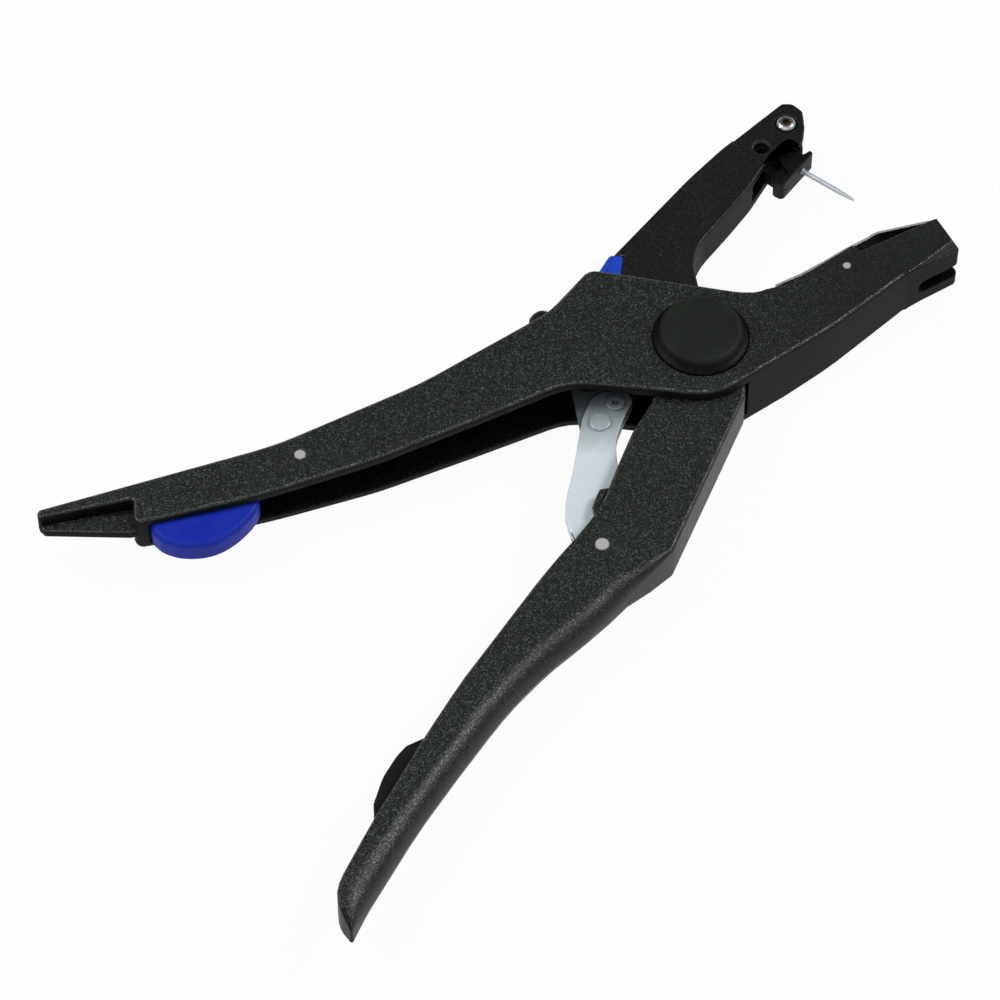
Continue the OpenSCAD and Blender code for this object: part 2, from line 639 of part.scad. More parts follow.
module tag_clip() {
    n = len(clip_line);
    color([0.6, 0.62, 0.64])
    rotate([0, 0, jaw_dir])
    difference() {
        union() {
            translate([0, 0, clip_low])
                linear_extrude(clip_wide)
                    polygon(concat([for (p = clip_line) [jaw_len - p[0], p[1]]],
                        [for (i = [0 : n - 1]) [jaw_len - clip_line[n - 1 - i][0],
                            clip_line[n - 1 - i][1] + clip_sheet]]));
            for (s = [-1, 1])
                translate([0, 0, zm + s * 3.4 - 0.5])
                    linear_extrude(1)
                        polygon([[jaw_len - 34.8, 1.0], [jaw_len - 29, 1.0], [jaw_len - 29, 9.3],
                            [jaw_len - 34.8, 8.3]]);
        }
        translate([jaw_len - 14, 0, zm - 2.2])
            cube([30, 20, 4.4]);
        translate([jaw_len - 14, 0, zm])
            rotate([-90, 0, 0])
                cylinder(r = 2.2, h = 20);
        rotate([0, 0, -jaw_dir])
            pin(clip_pin_at, clip_pin_d + 2 * turn_clear, 0, z1 + 2);
    }
}

module clip_pin() {
    color([0.75, 0.75, 0.76])
        pin(clip_pin_at, clip_pin_d, z0 + 2.1, z1);
}

// Pivot
module pivot_bolt() {
    color([0.7, 0.71, 0.72]) {
        pin([0, 0], bolt_d, z0 + cap_seat - hex_high + 0.2, z1 - cap_seat + 0.5);
        translate([0, 0, z1 - cap_seat])
            cylinder(r = hex_r, h = hex_high, $fn = 6);
    }
}

module pivot_nut() {
    color([0.7, 0.71, 0.72])
    difference() {
        translate([0, 0, z0 + cap_seat - hex_high])
            cylinder(r = hex_r, h = hex_high, $fn = 6);
        cylinder(d = bolt_d + 2 * fix_clear, h = z1);
    }
}

module pivot_bushing() {
    color([0.7, 0.62, 0.4])
    difference() {
        pin([0, 0], bushing_d, zm - body_gap / 2 + 0.05, zm + body_gap / 2 - 0.05);
        cylinder(d = bolt_d + 2 * fix_clear, h = z1);
    }
}

// Profile of a cap over the casting's face: outside first, then the hollow
module cap() {
    b = cap_base_d / 2;
    t = cap_top_d / 2;
    p = cap_proud;
    rotate_extrude($fn = 72)
        polygon([[b, -cap_seat], [b, 0.35], [b - 0.35, 0.75], [b - 1.0, 0.95], [t + 0.75, 1.25],
            [t + 0.5, p - 1.3], [t + 0.15, p - 0.5], [t - 0.55, p - 0.1], [t - 1.4, p], [0, p], [0, p - 1.4],
            [hex_r + 0.35, p - 1.4], [hex_r + 0.35, -cap_seat]]);
}

module front_cap() {
    color([0.08, 0.08, 0.08])
        translate([0, 0, z1])
            cap();
}

module back_cap() {
    color([0.08, 0.08, 0.08])
        translate([0, 0, z0])
            rotate([180, 0, 0])
                cap();
}

body_casting();
lower_handle();
upper_jaw();
pivot_bolt();
pivot_nut();
pivot_bushing();
front_cap();
back_cap();
upper_bumper();
lower_bumper();
bumper_pin();
tag_clip();
clip_pin();
stop_pad();
back_buffer();
lever_pin();
lever_front_plate();
lever_back_plate();
lever_spacer();
link_plate();
link_rivet();
hollow_rivet();
tail_pin();
jaw_screw();
jaw_plug();
pin_holder();
holder_pin();
needle();
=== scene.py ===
"""Finishes, rounded edges, floor, light and camera for the ear tag applicator."""

import json
import math

import bmesh
import bpy
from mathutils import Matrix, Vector

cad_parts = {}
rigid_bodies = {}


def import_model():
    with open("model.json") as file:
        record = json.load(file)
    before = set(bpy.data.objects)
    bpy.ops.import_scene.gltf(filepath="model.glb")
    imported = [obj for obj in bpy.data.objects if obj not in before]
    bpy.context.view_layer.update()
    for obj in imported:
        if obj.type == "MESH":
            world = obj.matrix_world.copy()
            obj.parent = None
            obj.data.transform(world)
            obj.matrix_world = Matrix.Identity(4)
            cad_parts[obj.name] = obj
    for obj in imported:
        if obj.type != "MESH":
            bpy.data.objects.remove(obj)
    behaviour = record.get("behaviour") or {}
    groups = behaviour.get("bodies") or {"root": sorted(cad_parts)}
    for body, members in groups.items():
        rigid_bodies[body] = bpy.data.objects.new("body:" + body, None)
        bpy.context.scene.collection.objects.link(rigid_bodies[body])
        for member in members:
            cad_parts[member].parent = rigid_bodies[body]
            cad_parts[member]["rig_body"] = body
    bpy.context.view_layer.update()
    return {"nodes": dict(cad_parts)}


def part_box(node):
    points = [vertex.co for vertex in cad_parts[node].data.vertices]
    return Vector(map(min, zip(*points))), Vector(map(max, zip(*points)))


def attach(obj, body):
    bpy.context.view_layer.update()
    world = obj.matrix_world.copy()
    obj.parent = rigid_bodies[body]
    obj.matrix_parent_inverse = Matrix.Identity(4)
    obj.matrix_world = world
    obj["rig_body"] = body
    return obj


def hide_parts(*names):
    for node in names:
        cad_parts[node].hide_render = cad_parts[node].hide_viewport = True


bl_info = {
    "name": "Ear tag applicator",
    "version": (1, 0, 0),
    "blender": (4, 5, 0),
    "location": "View3D > Sidebar > Applicator",
    "description": "Rounds the castings of the ear tag applicator and gives every piece its finish",
    "category": "Object",
}

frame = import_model()
MM = 0.001

# Direction of the lower jaw from the pivot
JAW_ANGLE = math.radians(27.7)

# Edges sharper than the first are rounded, and those still sharper than the second stay crisp
ROUND_FROM = math.radians(30)
CRISP_FROM = math.radians(40)

# Reach from which a chain of edges counts as long
LONG_CHAIN = 12 * MM

# Places in a piece's list of finishes: surface, rounded edges, painted shade for hollows and shaded
# faces, and upright sides, which carry a darker painted shade
SURFACE, EDGES, PAINTED_SHADE, SHADED_SIDES = range(4)

# How upright a face is, as the height of its normal
UPRIGHT = 0.45
TILTED = 0.8
LEVEL = 0.99


# Settings
class ApplicatorSettings(bpy.types.PropertyGroup):
    casting_edge: bpy.props.FloatProperty(
        name="Casting edge", description="Radius of the body casting's outer edges",
        default=1.05 * MM, min=0.0, unit="LENGTH")
    inner_edge: bpy.props.FloatProperty(
        name="Inner edge", description="Radius of the edges round the castings' channels",
        default=0.45 * MM, min=0.0, unit="LENGTH")
    jaw_edge: bpy.props.FloatProperty(
        name="Jaw edge", description="Radius of the upper jaw's long edges",
        default=1.0 * MM, min=0.0, unit="LENGTH")
    plate_edge: bpy.props.FloatProperty(
        name="Plate edge", description="Radius of the lever plates' and clip's edges",
        default=0.22 * MM, min=0.0, unit="LENGTH")
    coat_colour: bpy.props.FloatVectorProperty(
        name="Coat", description="Colour of the castings' dark coat",
        default=(0.0044, 0.0060, 0.0046), size=3, min=0.0, max=1.0, subtype="COLOR")
    blue_colour: bpy.props.FloatVectorProperty(
        name="Blue", description="Colour of the blue mouldings",
        default=(0.006, 0.018, 0.33), size=3, min=0.0, max=1.0, subtype="COLOR")
    rubber_colour: bpy.props.FloatVectorProperty(
        name="Rubber", description="Colour of the black rubber pieces",
        default=(0.006, 0.007, 0.006), size=3, min=0.0, max=1.0, subtype="COLOR")
    zinc_colour: bpy.props.FloatVectorProperty(
        name="Zinc", description="Colour of the zinc plating",
        default=(0.82, 0.91, 0.95), size=3, min=0.0, max=1.0, subtype="COLOR")
    grain: bpy.props.FloatProperty(
        name="Coat grain", description="Size of the grain in the castings' coat",
        default=0.21 * MM, min=0.05 * MM, unit="LENGTH")


def settings():
    return bpy.context.scene.applicator


# Meshes
def chains(edges):
    """Groups edges that touch each other."""
    left = set(edges)
    groups = []
    for first in edges:
        if first not in left:
            continue
        left.discard(first)
        group = [first]
        todo = [first]
        while todo:
            edge = todo.pop()
            for vert in edge.verts:
                for other in vert.link_edges:
                    if other in left:
                        left.discard(other)
                        group.append(other)
                        todo.append(other)
        groups.append(group)
    return groups


def reach(edges):
    """The longest side of the box round some edges."""
    places = [vert.co for edge in edges for vert in edge.verts]
    return max(max(p[i] for p in places) - min(p[i] for p in places) for i in range(3))


def solid_of(node):
    """The CAD node's mesh with its flat faces whole again."""
    bm = bmesh.new()
    bm.from_mesh(frame["nodes"][node].data)
    bmesh.ops.remove_doubles(bm, verts=bm.verts, dist=0.002 * MM)
    bmesh.ops.dissolve_limit(
        bm, angle_limit=math.radians(0.5), verts=bm.verts[:], edges=bm.edges[:])
    bm.normal_update()
    return bm


def round_edges(bm, width, small, keep=None, steps=3, own=None):
    """Rounds the outward edges: long chains by width, short ones by small.

    keep picks edges that are left alone, and own may give an edge of a long chain a radius
    of its own.
    """
    edges = [
        e for e in bm.edges
        if len(e.link_faces) == 2 and e.is_convex
        and e.calc_face_angle(0.0) > ROUND_FROM
        and not (keep and keep(e))]
    by_radius = {}
    for group in chains(edges):
        long = reach(group) > LONG_CHAIN
        for edge in group:
            radius = (own(edge) if own and long else None)
            if radius is None:
                radius = width if long else small
            by_radius.setdefault(round(radius, 7), []).append(edge)
    for radius in sorted(by_radius, reverse=True):
        picked = [e for e in by_radius[radius] if e.is_valid]
        if picked and radius > 0:
            bmesh.ops.bevel(
                bm, geom=picked, offset=radius, offset_type="OFFSET", segments=steps,
                profile=0.5, affect="EDGES", clamp_overlap=False, material=EDGES,
                loop_slide=True)


def add_piece(bm, name, node, materials, is_painted_shade=None):
    """Makes the piece that stands for a node, on the node's body and finish slot.

    materials are those of the surface, its rounded edges, the painted shade of its hollows and
    shaded faces, and its upright sides, which take a darker painted shade; the last argument picks
    the faces that take the painted shade.
    """
    bmesh.ops.remove_doubles(bm, verts=bm.verts, dist=0.001 * MM)
    bm.normal_update()
    for face in bm.faces:
        face.smooth = True
        slope = abs(face.normal.z)
        # Only the nearly level rounded faces keep the worn edge coat, so that it paints a highlight
        # line along the top of each edge; the others take the surface coat
        if face.material_index == EDGES and not TILTED < slope < LEVEL:
            face.material_index = SURFACE
        # Upright faces take the darker side coat, a painted shade
        if materials[SHADED_SIDES] and face.material_index == SURFACE and slope < UPRIGHT:
            face.material_index = SHADED_SIDES
        # Faces picked by the last argument take the painted shade
        if is_painted_shade is not None and is_painted_shade(face):
            face.material_index = PAINTED_SHADE
    used = sorted({face.material_index for face in bm.faces})
    for face in bm.faces:
        face.material_index = used.index(face.material_index)
    for edge in bm.edges:
        edge.smooth = len(edge.link_faces) != 2 or edge.calc_face_angle(0.0) <= CRISP_FROM
    mesh = bpy.data.meshes.new(name)
    bm.to_mesh(mesh)
    bm.free()
    piece = bpy.data.objects.new(name, mesh)
    bpy.context.scene.collection.objects.link(piece)
    for index in used:
        mesh.materials.append(materials[index])
    normals = piece.modifiers.new("Flat faces", "WEIGHTED_NORMAL")
    normals.keep_sharp = True
    source = frame["nodes"][node]
    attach(piece, source["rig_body"])
    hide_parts(node)
    return piece


# Places along the lower handle: Y, its left and right side there, and how far each side moves
GRIP_LINE = (
    (-62.0, -33.0, -5.9, -0.30, 0.0), (-75.0, -42.0, -14.9, -0.45, 0.3),
    (-78.5, -44.4, -19.7, -0.5, 1.2), (-82.4, -46.8, -24.1, -0.55, 2.8),
    (-86.4, -49.5, -26.8, -0.55, 1.75), (-90.4, -52.0, -29.5, -0.5, 0.6),
    (-94.0, -54.3, -32.0, -0.45, -0.3), (-105.0, -61.5, -42.8, -0.2, -0.45),
    (-118.0, -69.1, -53.5, -0.3, -0.38), (-130.0, -75.4, -61.2, -0.45, -0.6),
    (-142.0, -81.7, -68.7, -0.3, -0.95), (-152.0, -86.8, -74.7, -0.5, -0.9),
    (-163.0, -92.0, -81.0, -0.4, -0.5), (-176.0, -97.0, -88.5, -0.35, 0.0),
    (-186.3, -95.0, -93.5, 0.7, 0.0))


def smooth_grip(bm):
    """Moves the lower handle's sides a little, so that they run in one smooth line."""
    for vert in bm.verts:
        y = vert.co.y / MM
        if y > GRIP_LINE[0][0]:
            continue
        for above, below in zip(GRIP_LINE, GRIP_LINE[1:]):
            if below[0] <= y <= above[0]:
                part = (above[0] - y) / (above[0] - below[0])
                left, right, move_left, move_right = (
                    a + (b - a) * part for a, b in zip(above[1:], below[1:]))
                side = min(1.0, max(0.0, (vert.co.x / MM - left) / max(right - left, 0.1)))
                vert.co.x += (move_left + (move_right - move_left) * side) * MM
                break


# Finishes
class Nodes:
    """Helpers that add and join the nodes of one tree."""

    def __init__(self, tree):
        self.tree = tree

    def node(self, kind, **values):
        made = self.tree.nodes.new(kind)
        for key, value in values.items():
            setattr(made, key, value)
        return made

    def link(self, out, into):
        self.tree.links.new(out, into)

    def axes(self, vector):
        """A vector's X, Y and Z."""
        made = self.node("ShaderNodeSeparateXYZ")
        self.link(vector, made.inputs["Vector"])
        return made.outputs

    def range(self, value, low, high, to_low, to_high, how="LINEAR"):
        made = self.node("ShaderNodeMapRange", interpolation_type=how)
        for socket, number in zip(
                ("From Min", "From Max", "To Min", "To Max"), (low, high, to_low, to_high)):
            made.inputs[socket].default_value = number
        self.link(value, made.inputs["Value"])
        return made.outputs["Result"]

    def math(self, how, a, b):
        made = self.node("ShaderNodeMath", operation=how)
        for socket, value in zip(made.inputs, (a, b)):
            if isinstance(value, (int, float)):
                socket.default_value = value
            else:
                self.link(value, socket)
        return made.outputs["Value"]

    def shaders(self, amount, a, b, socket):
        """Mixes two shaders into a socket."""
        made = self.node("ShaderNodeMixShader")
        for value, into in zip((amount, a, b), made.inputs):
            self.link(value, into)
        self.link(made.outputs["Shader"], socket)


class Finish(Nodes):
    """A material with its shader and the helpers that wire its pattern in."""

    def __init__(self, name, **values):
        self.material = bpy.data.materials.new(name)
        self.material.use_nodes = True
        super().__init__(self.material.node_tree)
        self.shader = self.tree.nodes["Principled BSDF"]
        for socket, value in values.items():
            self.shader.inputs[socket.replace("_", " ")].default_value = value
        self.place = self.node("ShaderNodeTexCoord").outputs["Object"]

    def noise(self, size, detail=2.0, rough=0.5):
        made = self.node("ShaderNodeTexNoise")
        made.inputs["Scale"].default_value = 1.0 / size
        made.inputs["Detail"].default_value = detail
        made.inputs["Roughness"].default_value = rough
        self.link(self.place, made.inputs["Vector"])
        return made.outputs["Fac"]

    def crystals(self, size):
        """A random number from 0 to 1 for each small cell."""
        made = self.node("ShaderNodeTexVoronoi")
        made.inputs["Scale"].default_value = 1.0 / size
        self.link(self.place, made.inputs["Vector"])
        lone = self.node("ShaderNodeSeparateColor")
        self.link(made.outputs["Color"], lone.inputs["Color"])
        return lone.outputs["Red"]

    def mix(self, amount, a, b):
        """Mixes two colours."""
        made = self.node("ShaderNodeMix", data_type="RGBA")
        self.link(amount, made.inputs["Factor"])
        for socket, value in ((made.inputs[6], a), (made.inputs[7], b)):
            if isinstance(value, tuple):
                socket.default_value = (*value, 1.0)
            else:
                self.link(value, socket)
        return made.outputs[2]

    def bump(self, height, depth, strength=1.0, below=None):
        made = self.node("ShaderNodeBump")
        made.inputs["Distance"].default_value = depth
        made.inputs["Strength"].default_value = strength
        self.link(height, made.inputs["Height"])
        if below is not None:
            self.link(below, made.inputs["Normal"])
        return made.outputs["Normal"]

    def into(self, socket, value):
        self.link(value, self.shader.inputs[socket])


# Colours of the coat's glints, of bare casting metal on worn edges, which also paints their
# highlight line, and of the painted shadow that the cheek casts on the lever
GLINT = (0.19, 0.21, 0.19)
BARE_METAL_AND_HIGHLIGHT = (0.20, 0.215, 0.19)
PAINTED_SHADOW = (0.07, 0.085, 0.09)

# Roughness that the coat has at least on upright sides
SIDE_ROUGHNESS = 0.5


def tinted(colour, factor):
    return tuple(c * factor for c in colour)


def coat(name, shade=1.0, speckle=1.0, relief=1.0, gloss=0.36, rough=0.38):
    """Dark, grainy, faintly glittering coat over a casting."""
    made = Finish(name, Specular_IOR_Level=gloss)
    grain = settings().grain
    dark = tinted(settings().coat_colour, shade)
    patches = made.noise(16 * MM, 4.0, 0.6)
    fine = made.noise(grain, 3.0, 0.6)
    coarse = made.noise(1.1 * MM, 3.0, 0.6)

    # The glitter is densest toward the lower handle's end and fades along the jaws
    where = made.axes(made.place)
    dense = made.math(
        "MULTIPLY", made.range(where["X"], 0.0, 45 * MM, 1.0, 0.2),
        made.range(where["Y"], -130 * MM, -40 * MM, 1.3, 1.0))
    # Painted shade: grain and glints fade on upright and steeply sloping faces, so that the sides
    # and the handle's rounded back stay dark
    normal = made.node("ShaderNodeTexCoord").outputs["Normal"]
    level = made.math("ABSOLUTE", made.axes(normal)["Z"], 0.0)
    flat = made.range(level, 0.5, 0.95, 0.12, 1.0)
    bright = made.math(
        "MULTIPLY", made.range(made.crystals(grain), 0.78, 0.98, 0.0, 1.0), flat)
    glint = made.math(
        "MULTIPLY", bright,
        made.math("MULTIPLY", dense, made.range(coarse, 0.36, 0.60, 0.25, 1.0)))

    mottled = made.mix(made.range(patches, 0.35, 0.7, 0.0, 1.0), dark, tinted(dark, 1.4))
    grained = made.mix(
        made.math("MULTIPLY", flat, made.range(fine, 0.42, 0.75, 0.0, 0.6 * speckle)),
        mottled, tinted(dark, 3.4))
    made.into("Base Color", made.mix(
        made.math("MULTIPLY", glint, 0.95 * speckle), grained, GLINT))
    upright = made.range(level, 0.1, 0.6, max(rough, SIDE_ROUGHNESS), rough)
    made.into("Roughness", made.math(
        "MULTIPLY", upright, made.range(glint, 0.0, 1.0, 1.0, 0.8)))
    made.into("Metallic", made.math("MULTIPLY", glint, 0.45 * speckle))
    grit = made.noise(2.2 * grain, 2.0, 0.6)
    broad = made.bump(coarse, 0.06 * MM * relief)
    made.into("Normal", made.bump(grit, 0.13 * MM * relief, 0.9, broad))
    return made.material


def worn_and_highlight_coat(name, shade=1.0, amount=0.5):
    """The coat on an edge, rubbed through to bare metal in places; the bare metal also paints the
    highlight line along the edge.
    """
    made = Finish(name, Specular_IOR_Level=0.2)
    grain = settings().grain
    dark = tuple(c * shade * 1.5 for c in settings().coat_colour)
    rubbed = made.math(
        "ADD", made.math("MULTIPLY", made.noise(9 * MM, 3.0, 0.6), 0.2),
        made.math("MULTIPLY", made.noise(0.34 * MM, 3.0, 0.7), 0.8))
    bare = made.range(rubbed, 0.60 - 0.2 * amount, 0.70 - 0.2 * amount, 0.0, 1.0)
    made.into("Base Color", made.mix(bare, dark, BARE_METAL_AND_HIGHLIGHT))
    made.into("Metallic", made.math("MULTIPLY", bare, 0.5))
    made.into("Roughness", made.range(bare, 0.0, 1.0, 0.5, 0.38))
    made.into("Normal", made.bump(made.noise(grain, 3.0, 0.6), 0.07 * MM))
    return made.material


def matte_black(name, colour, rough):
    """Black moulding or painted cap with a faint skin."""
    made = Finish(name, Specular_IOR_Level=0.14)
    fine = made.noise(0.5 * MM, 3.0, 0.6)
    broad = made.noise(9 * MM, 3.0, 0.5)
    made.into("Base Color", made.mix(
        made.range(broad, 0.35, 0.65, 0.0, 1.0), colour, tinted(colour, 1.5)))
    made.into("Roughness", made.range(fine, 0.3, 0.7, rough - 0.08, rough + 0.08))
    made.into("Normal", made.bump(fine, 0.05 * MM))
    return made.material


def blue_plastic(name, colour):
    """Satin blue moulding with a faint grain and scuffs."""
    made = Finish(name, Specular_IOR_Level=0.16)
    fine = made.noise(0.5 * MM, 3.0, 0.6)
    broad = made.noise(7 * MM, 4.0, 0.6)
    made.into("Base Color", made.mix(
        made.range(broad, 0.35, 0.7, 0.0, 1.0), colour,
        (colour[0] * 1.5, colour[1] * 1.6, colour[2] * 1.12)))
    made.into("Roughness", made.range(broad, 0.3, 0.7, 0.42, 0.55))
    made.into("Normal", made.bump(fine, 0.035 * MM))
    return made.material


def bright_metal(name, colour, rough, metallic=1.0, marks=0.02 * MM, painted_shadow_span=None):
    """Plated or turned metal with fine marks and a slightly uneven gloss.

    The last argument gives the two places in Y between which a painted shadow, where the body's
    cheek shades the lever, darkens the metal.
    """
    made = Finish(name, Metallic=metallic)
    broad = made.noise(5 * MM, 4.0, 0.6)
    shade = made.mix(made.range(broad, 0.3, 0.7, 0.0, 1.0), colour, tinted(colour, 0.9))
    # Painted shadow: the metal darkens toward the body's cheek, whose shadow falls across the lever
    if painted_shadow_span:
        wander = made.math(
            "ADD", made.axes(made.place)["Y"], made.math("MULTIPLY", broad, 3 * MM))
        shade = made.mix(
            made.range(wander, painted_shadow_span[0] * MM, painted_shadow_span[1] * MM, 0.0, 0.93), shade, PAINTED_SHADOW)
    made.into("Base Color", shade)
    made.into("Roughness", made.range(broad, 0.3, 0.7, rough - 0.05, rough + 0.08))
    if marks:
        made.into("Normal", made.bump(made.noise(0.35 * MM), marks))
    return made.material


finishes = {}


def new_finish(name):
    """Makes a finish by its name."""
    if name == "coat":
        return coat("coat")
    if name == "coat edge":
        return worn_and_highlight_coat("coat_edge")
    # Painted shade: upright sides take a duller, darker copy of the coat
    if name == "coat shaded side":
        return coat("coat_shaded_side", speckle=0.5, gloss=0.12, rough=0.62)
    # Painted shade: a much darker, nearly plain coat for channels, rims, step walls and faces where
    # shadow falls
    if name == "painted_shade":
        return coat("painted_shade_coat", shade=0.3, speckle=0.15, gloss=0.08)
    # Painted shade on the end face of the lower handle
    if name == "shaded end coat":
        return coat("shaded_end_coat", shade=0.7, speckle=0.3, gloss=0.16)
    if name == "jaw coat":
        return coat("jaw_coat", shade=0.85, speckle=0.22, relief=0.5)
    if name == "jaw edge":
        return worn_and_highlight_coat("jaw_coat_edge", shade=0.9, amount=0.2)
    if name == "cap":
        return matte_black("cap_black", (0.0085, 0.0105, 0.0078), 0.6)
    if name == "rubber":
        return matte_black("rubber_black", tuple(settings().rubber_colour), 0.55)
    if name == "holder":
        return matte_black("holder_black", (0.0025, 0.0035, 0.0025), 0.5)
    if name == "recess":
        return matte_black("recess_brown", (0.045, 0.022, 0.008), 0.5)
    # Painted shade for the rims of the pins
    if name == "rim":
        return matte_black("rim_shade", (0.02, 0.019, 0.016), 0.5)
    if name == "blue":
        return blue_plastic("blue_moulding", tuple(settings().blue_colour))
    if name == "light blue":
        return blue_plastic("pad_blue", (0.010, 0.045, 0.43))
    if name == "zinc":
        return bright_metal(
            "zinc_plate", tuple(settings().zinc_colour), 0.38, 0.3, painted_shadow_span=(-33, -16))
    if name == "old zinc":
        return bright_metal("zinc_link", (0.22, 0.26, 0.27), 0.42, 0.3, painted_shadow_span=(-30, -14))
    if name == "steel":
        return bright_metal("pin_steel", (0.66, 0.67, 0.66), 0.36, 0.5)
    if name == "spring":
        return bright_metal("clip_steel", (0.55, 0.56, 0.56), 0.34, 0.6)
    if name == "stainless":
        return bright_metal("screw_steel", (0.62, 0.63, 0.64), 0.26)
    if name == "needle":
        return bright_metal("needle_steel", (0.60, 0.64, 0.70), 0.45, 0.5, marks=0)
    if name == "bronze":
        return bright_metal("bushing_bronze", (0.50, 0.36, 0.18), 0.4)
    raise ValueError("no finish named " + name)


def finish(name):
    """Finds or makes a finish by its name."""
    if name not in finishes:
        finishes[name] = new_finish(name)
    return finishes[name]


def dress(
        node, surface, width, small=None, edge=None, painted_shade=None, side=None, is_painted_shade=None,
        keep=None, own=None, steps=3, shape=None):
    """Rounds a node's edges and gives it its finishes; shape may first refine the mesh."""
    bm = solid_of(node)
    if shape:
        shape(bm)
    if width > 0:
        round_edges(bm, width, width if small is None else small, keep, steps, own)
    names = (surface, edge or surface, painted_shade, side)
    add_piece(
        bm, node + "_dressed", node, [finish(name) if name else None for name in names],
        is_painted_shade)


# Stage
# The camera's lens and sensor, how steeply it looks down, at what and from how far
LENS = 186.48
SENSOR = 36.0
LOOK_DOWN = math.radians(54.5)
LOOK_AT = Vector((-55.544, -55.355, 24.7)) * MM
LOOK_FROM = 1.4

# Half the floor's width, and its height just under the applicator
FLOOR_REACH = 3.0
FLOOR_LEVEL = -0.2 * MM

# Share of its own light in the white that the camera sees on the floor
FLOOR_WHITE = 0.955

# Each lamp's name, place, width and power, and the point they all look at
LAMPS = (
    ("key", (-1.0, 0.1, 1.15), 0.6, 8.5),
    ("side", (0.9, 0.3, 1.0), 0.42, 9.2),
    ("front", (-0.3, -1.2, 0.9), 0.7, 1.2),
    ("near", (-0.09, 0.12, 0.42), 0.12, 0.02))
LAMPS_AIM = Vector((-0.055, -0.055, 0.0))

# Direction toward the dark card up behind the applicator
CARD = (0.0, 0.581, 0.814)


class APPLICATOR_OT_stage(bpy.types.Operator):
    """Adds the floor, the light and the camera"""

    bl_idname = "applicator.stage"
    bl_label = "Stage"

    def execute(self, context):
        scene = context.scene
        scene.view_settings.view_transform = "Standard"
        data = bpy.data.cameras.new("Camera")
        data.sensor_width = SENSOR
        data.lens = LENS
        data.clip_start = 0.05
        data.clip_end = 20.0
        camera = bpy.data.objects.new("Camera", data)
        scene.collection.objects.link(camera)
        toward = Vector((0.0, -math.cos(LOOK_DOWN), math.sin(LOOK_DOWN)))
        camera.location = LOOK_AT + LOOK_FROM * toward
        camera.rotation_euler = (math.radians(90) - LOOK_DOWN, 0.0, 0.0)
        scene.camera = camera

        bm = bmesh.new()
        bmesh.ops.create_grid(bm, x_segments=8, y_segments=8, size=FLOOR_REACH)
        for vert in bm.verts:
            vert.co.z = FLOOR_LEVEL
        mesh = bpy.data.meshes.new("floor")
        bm.to_mesh(mesh)
        bm.free()
        floor = bpy.data.objects.new("floor", mesh)
        scene.collection.objects.link(floor)
        mesh.materials.append(self.floor_finish())
        self.surroundings(scene)
        for lamp in LAMPS:
            self.lamp(*lamp)
        return {"FINISHED"}

    def floor_finish(self):
        """White paper: the camera sees it white, with a faint shadow left in."""
        made = Finish("floor_white", Roughness=0.9, Specular_IOR_Level=0.1)
        made.shader.inputs["Base Color"].default_value = (0.75, 0.75, 0.75, 1.0)
        glow = made.node("ShaderNodeEmission")
        glow.inputs["Strength"].default_value = 1.0
        ray = made.node("ShaderNodeLightPath").outputs
        seen = made.math("MAXIMUM", ray["Is Camera Ray"], ray["Is Transmission Ray"])
        seen = made.math("MAXIMUM", seen, ray["Is Glossy Ray"])
        made.shaders(
            made.math("MULTIPLY", seen, FLOOR_WHITE), made.shader.outputs["BSDF"],
            glow.outputs["Emission"], made.tree.nodes["Material Output"].inputs["Surface"])
        return made.material

    def surroundings(self, scene):
        """Pale surroundings with a dark card, white where the camera looks past the floor."""
        world = bpy.data.worlds.new("World")
        scene.world = world
        world.use_nodes = True
        made = Nodes(world.node_tree)
        back = made.tree.nodes["Background"]
        back.inputs["Color"].default_value = (0.96, 0.98, 1.0, 1.0)
        place = made.node("ShaderNodeTexCoord").outputs["Generated"]
        toward = made.node("ShaderNodeVectorMath", operation="DOT_PRODUCT")
        toward.inputs[1].default_value = CARD
        made.link(place, toward.inputs[0])
        card = made.range(toward.outputs["Value"], 0.55, 0.9, 1.0, 0.12, "SMOOTHSTEP")
        lift = made.range(made.axes(place)["Z"], 0.15, 0.55, 0.12, 0.7, "SMOOTHSTEP")
        made.link(made.math("MULTIPLY", card, lift), back.inputs["Strength"])
        white = made.node("ShaderNodeBackground")
        white.inputs["Color"].default_value = (1.0, 1.0, 1.0, 1.0)
        ray = made.node("ShaderNodeLightPath").outputs
        made.shaders(
            ray["Is Camera Ray"], back.outputs["Background"], white.outputs["Background"],
            made.tree.nodes["World Output"].inputs["Surface"])

    def lamp(self, name, place, size, power):
        """A soft square lamp that looks at the object's middle."""
        data = bpy.data.lights.new(name, "AREA")
        data.size = size
        data.energy = power
        lamp = bpy.data.objects.new(name, data)
        lamp.location = place
        aim = LAMPS_AIM - Vector(place)
        lamp.rotation_euler = aim.to_track_quat("-Z", "Y").to_euler()
        bpy.context.scene.collection.objects.link(lamp)


# Pieces
# Where the fixed handle starts to narrow, its narrowing, and where its free end starts
TAPER_FROM = -20 * MM
TAPER = 0.03175
FREE_END = -153 * MM

# Places along the lower jaw where its mouth side and its tip start
MOUTH = 24 * MM
TIP = 58 * MM


def middle_of(edge):
    return (edge.verts[0].co + edge.verts[1].co) / 2


def half_height(node):
    low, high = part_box(node)
    return (low.z + high.z) / 2


def off_middle(verts, half):
    """How far the farthest of some points lies from a node's half height."""
    return max(abs(vert.co.z - half) for vert in verts)


